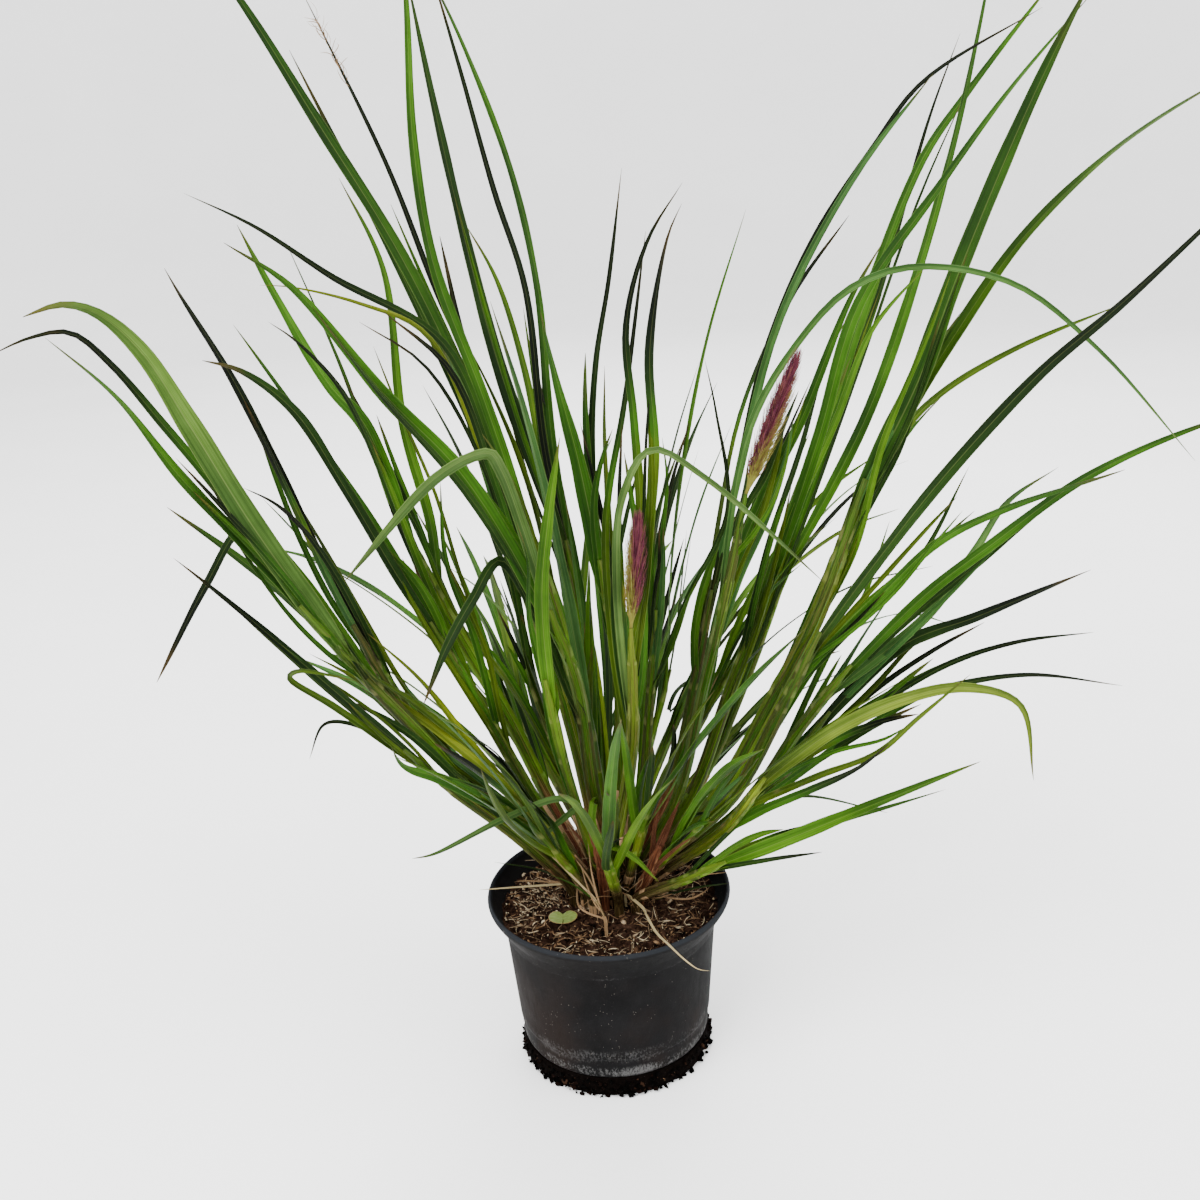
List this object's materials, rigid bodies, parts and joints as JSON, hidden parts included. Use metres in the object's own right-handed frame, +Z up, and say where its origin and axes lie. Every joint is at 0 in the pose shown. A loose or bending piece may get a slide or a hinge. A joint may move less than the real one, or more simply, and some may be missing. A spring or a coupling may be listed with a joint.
{
  "type": "potted grass",
  "caption": "Clump of arching green grass blades with purple-red bristly flower heads, growing in a round black nursery pot of dark soil.",
  "frame": {"origin": "middle of the pot's base, on the floor", "axes": "+Z up along the pot's axis, -Y towards the picture's viewer, +X to the viewer's right"},
  "size_m": [0.7069, 0.5722, 0.7623],
  "materials": {
    "pot": "black moulded plastic with a dull sheen, scuffed and muddy at its foot",
    "soil": "dark brown potting bark and fibre",
    "grass": "satin green leaf, brown to purple at its base",
    "dry_grass": "dry tan straw",
    "flower_head": "soft purple-red bristles",
    "fallen_leaf": "pale yellow-green leaf"
  },
  "bodies": {
    "root": {"clinging_soil": "soil", "dry_straw_front": "dry_grass", "dry_straw_left": "dry_grass", "dry_straw_right": "dry_grass", "dry_straw_rim": "dry_grass", "dry_stubs_left": "dry_grass", "dry_stubs_right": "dry_grass", "fallen_leaf": "fallen_leaf", "head_redhead_centre": "flower_head", "head_redhead_right": "flower_head", "pot": "pot", "shoot_arching_left": "grass", "shoot_back_1": "grass", "shoot_back_2": "grass", "shoot_back_3": "grass", "shoot_back_4": "grass", "shoot_back_5": "grass", "shoot_back_6": "grass", "shoot_back_7": "grass", "shoot_back_8": "grass", "shoot_back_9": "grass", "shoot_bright_centre": "grass", "shoot_broad_centre": "grass", "shoot_broad_left": "grass", "shoot_broad_right": "grass", "shoot_crossing_left": "grass", "shoot_dark_arch": "grass", "shoot_dark_left": "grass", "shoot_fine_centre": "grass", "shoot_flat_right": "grass", "shoot_folded_left": "grass", "shoot_forked_right": "grass", "shoot_front_1": "grass", "shoot_front_2": "grass", "shoot_front_3": "grass", "shoot_front_4": "grass", "shoot_front_5": "grass", "shoot_high_left": "grass", "shoot_leaning_right": "grass", "shoot_low_left": "grass", "shoot_low_right": "grass", "shoot_mid_left": "grass", "shoot_middle_1": "grass", "shoot_middle_2": "grass", "shoot_middle_3": "grass", "shoot_outer_left": "grass", "shoot_redhead_centre": "grass", "shoot_redhead_right": "grass", "shoot_split_right": "grass", "shoot_tall_left": "grass", "shoot_upright_right": "grass", "shoot_yellow_left": "grass", "shoot_yellow_right": "grass", "soil": "soil"}
  },
  "joints": []
}
